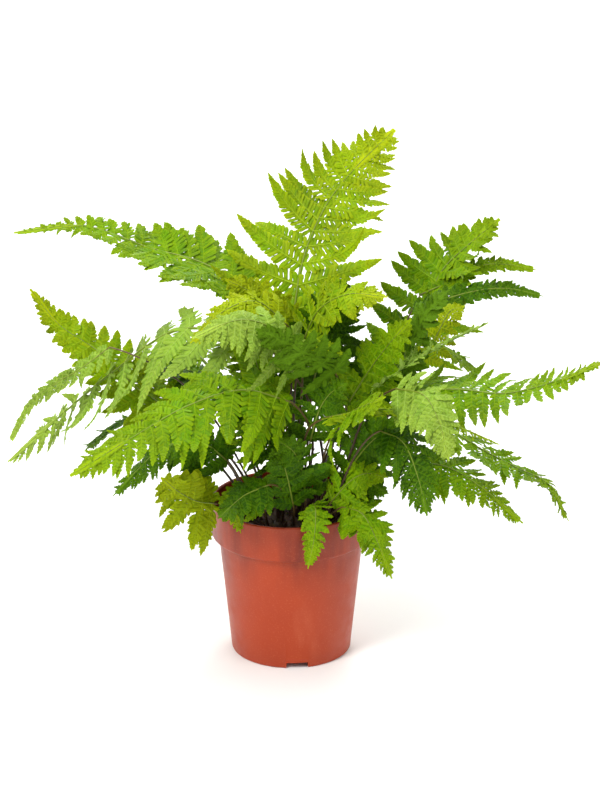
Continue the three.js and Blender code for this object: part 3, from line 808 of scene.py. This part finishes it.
scale_rng = np.random.default_rng(21)
for frond in fronds + young:
    lower = stalk_of(frond)
    blade = through(above_soil(frond["blade"]), 48)
    whole = np.vstack([lower, blade[1:]])
    along = np.concatenate([np.linspace(0, 1, len(lower)), np.linspace(1, 2, len(blade))[1:]])
    small = 0.75 + 0.25 * min(1, frond["long"] / 50)
    radii = small * np.interp(along, [0, 0.15, 1.0, 1.6, 2.0], [0.00135, 0.00105, 0.00072, 0.00040, 0.00016])
    parts = [tube(whole, radii, 8)]
    counts = [len(whole) * 8]
    marks = [np.repeat(along, 8)]
    steps = np.gradient(lower, axis=0)
    for _ in range(34 if frond["stalk"] else 10):
        where = scale_rng.uniform(0.02, 0.55) ** 1.3
        i = int(where * (len(lower) - 1))
        step = steps[i] / np.linalg.norm(steps[i])
        out = scale_rng.normal(0, 1, 3)
        out -= step * out.dot(step)
        out /= np.linalg.norm(out)
        foot = lower[i] + out * radii[i] * 0.8
        size = scale_rng.uniform(0.0012, 0.0028)
        run = [foot, foot + step * size * 0.5 + out * size * 0.25, foot + step * size + out * size * 0.35]
        parts.append(tube(run, [0.00028, 0.00022, 0.00003], 4))
        counts.append(12)
        marks.append(np.full(12, 0.05))
    mesh = joined(frond["name"] + "_stalk", parts, 70)
    mark = mesh.attributes.new("along", "FLOAT", "POINT")
    mark.data.foreach_set("value", np.concatenate(marks).astype(np.float32))
    stands_for = [frond["name"] + "_stem"] if frond in fronds else []
    piece_of(frond["name"] + "_stalk", mesh, stalk_skin.material, stands_for)

# ---- Leaves --------------------------------------------------------------------------------
# The feathered blades, one to each frond. Leaflets stand in two rows along the midrib, and each
# is cut part of the way to its own rib into toothed lobes that are glossy above and paler
# below, about 0.3 mm thick, lime green while young and deeper green when grown. The deep tone
# is a green darkened as painted shade, for the fronds that sit in shade among the others.

tones = {
    "lime": dict(
        body=(152, 204, 4), edge=(216, 224, 10), rib=(190, 218, 56), under=(170, 202, 30),
        clear=0.36,
    ),
    "green": dict(
        body=(118, 178, 0), edge=(182, 210, 4), rib=(164, 200, 36), under=(146, 184, 30),
        clear=0.32,
    ),
    "pale": dict(
        body=(150, 196, 56), edge=(194, 222, 78), rib=(200, 228, 116), under=(180, 214, 94),
        clear=0.28,
    ),
    # deep: the green darkened as painted shade, for fronds that sit in shade among the others
    "deep": dict(
        body=(52, 104, 0), edge=(112, 156, 0), rib=(104, 144, 18), under=(98, 140, 10),
        clear=0.16,
    ),
}
leaf_skins = {}
for tone, look in tones.items():
    skin = Shader("leaf_" + tone)
    skin.surface.inputs["Specular IOR Level"].default_value = 0.15
    lobe_mark = skin.node("Attribute", attribute_name="lobe").outputs["Vector"]
    blade_mark = skin.node("Attribute", attribute_name="blade").outputs["Vector"]
    below = skin.node("Attribute", attribute_name="below").outputs["Fac"]
    lobe = skin.node("SeparateXYZ", Vector=lobe_mark).outputs
    blade = skin.node("SeparateXYZ", Vector=blade_mark).outputs
    full, edge, rib = colour(*look["body"]), colour(*look["edge"]), colour(*look["rib"])
    # dull is a duller green for random patches; dark is a darker green for the painted shade between the
    # lobes and for random dark flecks
    dull, dark = (colour(*[c * share for c in look["body"]]) for share in (0.78, 0.6))
    aside = skin.math("ABSOLUTE", lobe["Y"])
    mid_vein = skin.spread(aside, 0.02, 0.16, 1, 0)
    veins = skin.spread(blade["Z"], 0, 1, 3.0, 14.0)
    fan = skin.math("SUBTRACT", skin.times(lobe["X"], veins), skin.times(aside, 1.6))
    wave = skin.math("ABSOLUTE", skin.math("SINE", skin.times(fan, math.pi)))
    side_vein = skin.spread(wave, 0.0, 0.5, 1, 0)
    # painted shade: each lobe darkens towards its sides, short of its tip, where the gaps between lobes lie
    # in shadow
    lobe_gap_shade = skin.times(skin.spread(aside, 0.45, 1.0), skin.spread(lobe["X"], 0.95, 0.6))
    tip = skin.spread(lobe["X"], 0.78, 1.0)
    patches = skin.noise(34, 4)
    flecks = skin.noise(480, 3)
    body = skin.blend(skin.spread(patches, 0.35, 0.65), dull, full)
    body = skin.blend(skin.times(lobe["Z"], 0.45), body, edge)
    body = skin.blend(skin.spread(blade["X"], 0.5, 1.0, 0, 0.5), body, edge)
    body = skin.blend(skin.spread(blade["Y"], 0.6, 1.0, 0, 0.5), body, edge)
    body = skin.blend(skin.times(tip, 0.6), body, edge)
    # the painted shade between the lobes
    body = skin.blend(skin.times(lobe_gap_shade, 0.65), body, dark)
    body = skin.blend(skin.times(side_vein, 0.25), body, rib)
    body = skin.blend(skin.times(mid_vein, 0.45), body, rib)
    body = skin.blend(skin.spread(flecks, 0.6, 0.72, 0, 0.3), body, dark)
    scorch = skin.times(skin.spread(skin.noise(15, 3), 0.64, 0.72, 0, 0.6), tip)
    body = skin.blend(scorch, body, colour(172, 140, 40))
    pale_side = skin.blend(skin.times(mid_vein, 0.7), colour(*look["under"]), rib)
    pale_side = skin.blend(skin.times(side_vein, 0.3), pale_side, rib)
    # the same painted shade between the lobes on the paler underside
    under_gap_shade = colour(*[c * 0.7 for c in look["under"]])
    pale_side = skin.blend(skin.times(lobe_gap_shade, 0.5), pale_side, under_gap_shade)
    skinned = skin.blend(below, body, pale_side)
    gloss = skin.spread(flecks, 0.3, 0.7, 0.34, 0.52)
    skin.paint(skinned, skin.plus(gloss, skin.times(below, 0.2)))
    grooves = skin.plus(skin.times(mid_vein, -1.0), skin.times(side_vein, -0.7))
    skin.bump(skin.plus(grooves, skin.times(flecks, 0.35)), 0.7, 0.0006)
    lit_through = skin.blend(look["clear"] * 0.8, skinned, colour(186, 214, 0))
    light_through = skin.node("BsdfTranslucent", Color=lit_through)
    both = skin.node("MixShader")
    skin.feed(both.inputs[0], look["clear"])
    skin.feed(both.inputs[1], skin.surface.outputs["BSDF"])
    skin.feed(both.inputs[2], light_through.outputs["BSDF"])
    skin.feed(skin.output.inputs["Surface"], both.outputs[0])
    leaf_skins[tone] = skin.material


def unit(vectors):
    return vectors / np.linalg.norm(vectors, axis=-1, keepdims=True)


def plate_pattern(rows, wide):
    """A plate's faces: columns above, a row below its middle, and a small face at each end."""
    corners, sizes, under = [], [], []
    top = np.arange(rows * wide).reshape(rows, wide)
    belly = rows * wide + np.arange(rows)

    def add(points, is_under):
        corners.extend(points)
        sizes.append(len(points))
        under.append(is_under)

    for i in range(rows - 1):
        for c in range(wide - 1):
            add([top[i, c], top[i, c + 1], top[i + 1, c + 1], top[i + 1, c]], 0)
        add([top[i, 0], top[i + 1, 0], belly[i + 1], belly[i]], 1)
        add([belly[i], belly[i + 1], top[i + 1, -1], top[i, -1]], 1)
    add([belly[0], *reversed(top[0])], 1)
    add([*top[-1], belly[-1]], 1)
    return np.array(corners), np.array(sizes), np.array(under)


class Plates:
    """Thin toothed plates of one kind, gathered and then turned into mesh arrays."""

    def __init__(self, steps, teeth, columns, crown, is_web):
        self.steps, self.teeth = np.asarray(steps, float), np.asarray(teeth, float)
        self.columns, self.crown, self.is_web = np.array(columns), np.array(crown), is_web
        self.pattern = plate_pattern(len(steps), len(columns))
        self.middles, self.sides, self.ups, self.halves, self.tags = [], [], [], [], []

    def lay(self, middle, side, up, half, tag):
        self.middles.append(middle)
        self.sides.append(side)
        self.ups.append(up)
        self.halves.append(half)
        self.tags.append(tag)

    def arrays(self, chance):
        """Points and faces of every plate, and their marks for the leaf's skin. lobe tells how far
        along and across its plate a point is, and the plate's luck. blade tells how far along the
        blade and the leaflet it is, and if the plate is a web."""
        middle, side, up = (np.array(given) for given in (self.middles, self.sides, self.ups))
        half, tag = np.array(self.halves), np.array(self.tags)
        count, rows = half.shape
        wide = len(self.columns)
        half = half * (1 + self.teeth * chance.normal(0, 0.07, (count, rows)))
        across = half[..., None] * self.columns
        crown = self.crown * half[..., None]
        crown = crown + chance.normal(0, 0.035, (count, rows, wide)) * half[..., None]
        above = middle[:, :, None] + side[:, :, None] * across[..., None] + up[:, :, None] * crown[..., None]
        thick = np.minimum(lobe_thickness, 0.3 * half + 0.00008)
        belly = above[:, :, wide // 2] - up * thick[..., None]
        points = np.concatenate([above.reshape(count, -1, 3), belly], axis=1)
        lobe = np.zeros((count, rows * (wide + 1), 3))
        lobe[..., 0] = np.concatenate([np.repeat(self.steps, wide), self.steps])
        lobe[..., 1] = np.concatenate([np.tile(self.columns, rows), np.zeros(rows)])
        lobe[..., 2] = tag[:, None, 2]
        blade = np.zeros((count, rows * (wide + 1), 3))
        blade[..., 0], blade[..., 1] = tag[:, None, 0], tag[:, None, 1]
        blade[..., 2] = self.is_web
        corners, sizes, under = self.pattern
        side_of = np.repeat(under, sizes)
        spots = np.column_stack([lobe[0, corners, 0], lobe[0, corners, 1] * 0.5 + 0.5])
        spots = spots * cell_span + cell_edge
        return points, lobe, blade, corners, sizes, under, side_of, spots


def share_of_longest(u, taper=0.8):
    """How long a leaflet at u along the blade is, next to the longest."""
    return (0.75 + 0.25 * np.minimum(1, u / 0.12)) * (1 - u) ** taper


path_steps = 400
rib_steps = 8
rib_sides = 5
cell_edge = 0.08
cell_span = 0.84
lobe_thickness = 0.00034
lobe_steps = [0.0, 0.22, 0.42, 0.58, 0.74, 0.87, 0.95, 1.0]
lobe_teeth = np.array([0, 1, 0, 1, 0, 1, 0, 0])
lobe_outline = np.array([1.0, 1.06, 0.98, 1.06, 0.88, 0.78, 0.50, 0.18])
web_steps = np.linspace(0, 1, 29)
web_teeth = np.arange(29) % 2
web_outline = np.where(web_teeth == 1, 1.10, 0.90)
down = np.array((0.0, 0.0, -1.0))


def grow_blade(frond, chance):
    """The lobes, webs and ribs of one blade."""
    lobes = Plates(lobe_steps, lobe_teeth, [-1.0, 0.0, 1.0], [-0.22, 0.10, -0.22], 0)
    web_crown = [-0.06, 0.06, -0.05, 0.06, -0.06]
    webs = Plates(web_steps, web_teeth, [-1.0, -0.55, 0.0, 0.55, 1.0], web_crown, 1)
    ribs = []
    path = through(above_soil(frond["blade"]), path_steps)
    tangents = unit(np.gradient(path, axis=0))
    blade_length = np.linalg.norm(np.diff(path, axis=0), axis=1).sum()
    face = unit(np.array(frond["face"], float))
    longest = frond["long"] / 1000
    roomy = blade_length / (0.003 + 0.095 * longest)
    count = frond.get("count", int(np.clip(round(roomy), frond["pairs"] + 2, frond["pairs"] + 9)))
    run = np.linspace(0, 0.98, 200)
    pace = np.cumsum(1 / (0.30 + share_of_longest(run)))
    spots = np.interp((np.arange(count) + 0.3) / count * pace[-1], pace, run)
    spacing = np.gradient(spots) * blade_length
    cut = frond["gaps"]
    slit = np.interp(lobe_steps, [0, 0.35, 0.75], [1 - 0.8 * cut, 1 - 1.3 * cut, 1])
    for spot, space_here in zip(spots, spacing):
        for hand in (-1, 1):
            u = float(np.clip(spot + (0.006 if hand > 0 else 0.0) + chance.normal(0, 0.003), 0.004, 0.985))
            i = int(u * (path_steps - 1))
            root, along = path[i], tangents[i]
            up = unit(face - along * face.dot(along))
            side = np.cross(along, up) * hand
            lift = math.radians(frond.get("fold", (0, 0))[0 if hand < 0 else 1] + chance.normal(0, 5))
            level, high = math.cos(lift), math.sin(lift)
            side, up = side * level + up * high, up * level - side * high
            share = float(share_of_longest(u, frond.get("taper", 0.75)))
            length = longest * share * chance.normal(1.04, 0.05) + 0.002
            lean = math.radians(frond["sweep"] + chance.normal(0, 4)) - 0.5 * max(0.0, u - 0.6)
            heading = side * math.sin(lean) + along * math.cos(lean)
            roll = math.radians(chance.normal(6, 11))
            up = up * math.cos(roll) + np.cross(up, heading) * math.sin(roll)
            bow = along * chance.normal(0.20, 0.07) + up * chance.normal(0.10, 0.10)
            droop = frond["hang"] * chance.normal(1, 0.15)
            curl = chance.normal(0.03, 0.2)

            def at(t):
                t = np.asarray(t, float)[..., None]
                bent = bow * (t * t - t) + down * droop * t**1.6 + up * curl * t**4
                return root + (heading * t + bent) * length

            def heading_at(t):
                t = np.asarray(t, float)[..., None]
                return unit(heading + bow * (2 * t - 1) + down * 1.6 * droop * t**0.6 + up * 4 * curl * t**3)

            def plane_at(t):
                way = heading_at(t)
                flat_up = unit(up - way * (way @ up)[..., None])
                return way, np.cross(flat_up, way), flat_up

            rib_radii = np.linspace(0.00030 + length * 0.004, 0.00010, rib_steps)
            ribs.append((at(np.linspace(0, 0.97, rib_steps)), rib_radii, u))
            broad = float(np.clip(space_here * frond.get("broad", 0.66), 0.11 * length, 0.30 * length))

            def half_at(t):
                opening = 0.82 + 0.18 * np.minimum(1, t / 0.15)
                return broad * opening * np.maximum(0, 1 - t**2.0) ** 0.9 + 0.0004

            way, flat, flat_up = plane_at(web_steps)
            joined_share = [0.40 - cut, 0.58 - 1.2 * cut, 0.86 - 0.4 * cut, 0.86]
            half = half_at(web_steps) * np.interp(web_steps, [0, 0.4, 0.72, 1.0], joined_share) * web_outline
            webs.lay(at(web_steps) - flat_up * 0.0003, flat, flat_up, half, (u, 0.55, chance.uniform()))

            pairs = int(np.clip(round(length / 0.0034) + 2, 3, 19))
            step = 1 - 0.5 * (np.arange(pairs) + 0.5) / pairs
            space = 0.94 * step / step.sum()
            t = 0.004 + np.cumsum(space) - space / 2
            places, (ways, flats, ups) = at(t), plane_at(t)
            for which in (-1, 1):
                angle = np.radians(np.interp(t, [0, 1], [74, 48]) + chance.normal(0, 4, pairs))
                way = ways * np.cos(angle)[:, None] + flats * which * np.sin(angle)[:, None]
                way = unit(way + ups * chance.normal(-0.02, 0.09, pairs)[:, None])
                top = unit(ups - way * (ups * way).sum(1)[:, None])
                top = unit(top + np.cross(top, way) * chance.normal(0, 0.16, pairs)[:, None])
                flat = np.cross(top, way)
                long_lobe = half_at(t) * chance.normal(1.08, 0.06, pairs)
                wide_lobe = space * length * (0.60 - 0.3 * cut) * np.interp(t, [0, 1], [1.0, 1.2])
                hook = chance.normal(0.10, 0.10, pairs)
                for j in range(pairs):
                    reach = long_lobe[j] * lobes.steps
                    middle = places[j] + way[j] * reach[:, None]
                    middle = middle + ways[j] * (0.10 * reach * lobes.steps)[:, None]
                    middle = middle - top[j] * (hook[j] * reach * lobes.steps)[:, None]
                    half = np.minimum(wide_lobe[j] * lobe_outline * slit, 0.6 * long_lobe[j])
                    flat_rows, top_rows = (np.tile(one[j], (len(lobe_steps), 1)) for one in (flat, top))
                    lobes.lay(middle, flat_rows, top_rows, half, (u, t[j], chance.uniform()))
    # the blade's own tip, where the last leaflets run together
    ends = 0.76 + 0.24 * web_steps
    i = (ends * (path_steps - 1)).astype(int)
    middle, along = path[i], tangents[i]
    up = unit(face - along * (along @ face)[:, None])
    half = longest * share_of_longest(np.minimum(ends, 0.985)) * web_outline
    half = half * np.interp(ends, [0.76, 0.86, 1], [0.05, 0.35, 0.8])
    webs.lay(middle + along * 0.003 * web_steps[:, None], np.cross(up, along), up, half, (1.0, 0.8, 0.5))
    # a narrow wing on each side of the midrib
    i = (web_steps * (path_steps - 1)).astype(int)
    middle, along = path[i], tangents[i]
    up = unit(face - along * (along @ face)[:, None])
    half = (0.0014 + 0.0012 * web_steps) * web_outline
    webs.lay(middle - up * 0.0004, np.cross(up, along), up, half, (0.5, 0.2, 0.3))
    return lobes, webs, ribs


def leaf_mesh(frond, chance):
    lobes, webs, ribs = grow_blade(frond, chance)
    youth = frond.get("youth", 0.0)
    made = [kind.arrays(chance) for kind in (lobes, webs)]
    counts = [len(kind.tags) for kind in (lobes, webs)]
    # the upper and lower faces of each plate, and each rib, have their own cell in the flat pattern
    cells = math.ceil(math.sqrt(2 * sum(counts) + len(ribs)))
    points, corners, sizes, under, lobe, blade, spots = [], [], [], [], [], [], []
    first, number = 0, 0
    for kind, count in zip(made, counts):
        places, lobe_marks, blade_marks, one, one_sizes, one_under, side_of, flat = kind
        each = places.shape[1]
        points.append(places.reshape(-1, 3))
        lobe.append(lobe_marks.reshape(-1, 3))
        blade.append(blade_marks.reshape(-1, 3) + (youth, 0, 0))
        corners.append((one[None] + first + (np.arange(count) * each)[:, None]).ravel())
        sizes.append(np.tile(one_sizes, count))
        under.append(np.tile(one_under, count))
        cell = number + 2 * np.repeat(np.arange(count), len(one)) + np.tile(side_of, count)
        spots.append((np.tile(flat, (count, 1)) + np.column_stack([cell % cells, cell // cells])) / cells)
        first += count * each
        number += 2 * count
    for rib, radii, u in ribs:
        places, faces = tube(rib, radii, rib_sides)
        for face in faces:
            corners.append([first + i for i in face])
            sizes.append([len(face)])
            under.append([0])
            for order, i in enumerate(face):
                step, turn = divmod(i, rib_sides)
                if len(face) == 4 and turn == 0 and order in (1, 2):
                    turn = rib_sides
                x = number % cells + cell_edge + cell_span * step / (rib_steps - 1)
                y = number // cells + cell_edge + cell_span * turn / rib_sides
                spots.append([(x / cells, y / cells)])
        points.append(places)
        lobe.append([(0.5, 0.0, 0.5)] * len(places))
        blade.append([(u + youth, 0.5, 0)] * len(places))
        first += len(places)
        number += 1
    points, lobe, blade, spots = (np.vstack(part).astype(np.float32) for part in (points, lobe, blade, spots))
    corners, sizes = (np.concatenate(part).astype(np.int32) for part in (corners, sizes))

    mesh = bpy.data.meshes.new(frond["name"] + "_blade")
    mesh.vertices.add(len(points))
    mesh.vertices.foreach_set("co", points.ravel())
    mesh.loops.add(len(corners))
    mesh.loops.foreach_set("vertex_index", corners)
    mesh.polygons.add(len(sizes))
    mesh.polygons.foreach_set("loop_start", np.concatenate([[0], np.cumsum(sizes)[:-1]]).astype(np.int32))
    mesh.update(calc_edges=True)
    smooth(mesh, 50)
    mesh.attributes.new("lobe", "FLOAT_VECTOR", "POINT").data.foreach_set("vector", lobe.ravel())
    mesh.attributes.new("blade", "FLOAT_VECTOR", "POINT").data.foreach_set("vector", blade.ravel())
    under = np.concatenate(under).astype(np.float32)
    mesh.attributes.new("below", "FLOAT", "FACE").data.foreach_set("value", under)
    mesh.uv_layers.new(name="OFBake").data.foreach_set("uv", spots.ravel())
    return mesh


leaf_chance = np.random.default_rng(4)
for frond in fronds + young:
    mesh = leaf_mesh(frond, leaf_chance)
    stands_for = [frond["name"] + "_leaf"] if frond in fronds else []
    piece_of(frond["name"] + "_blade", mesh, leaf_skins[frond["tone"]], stands_for)
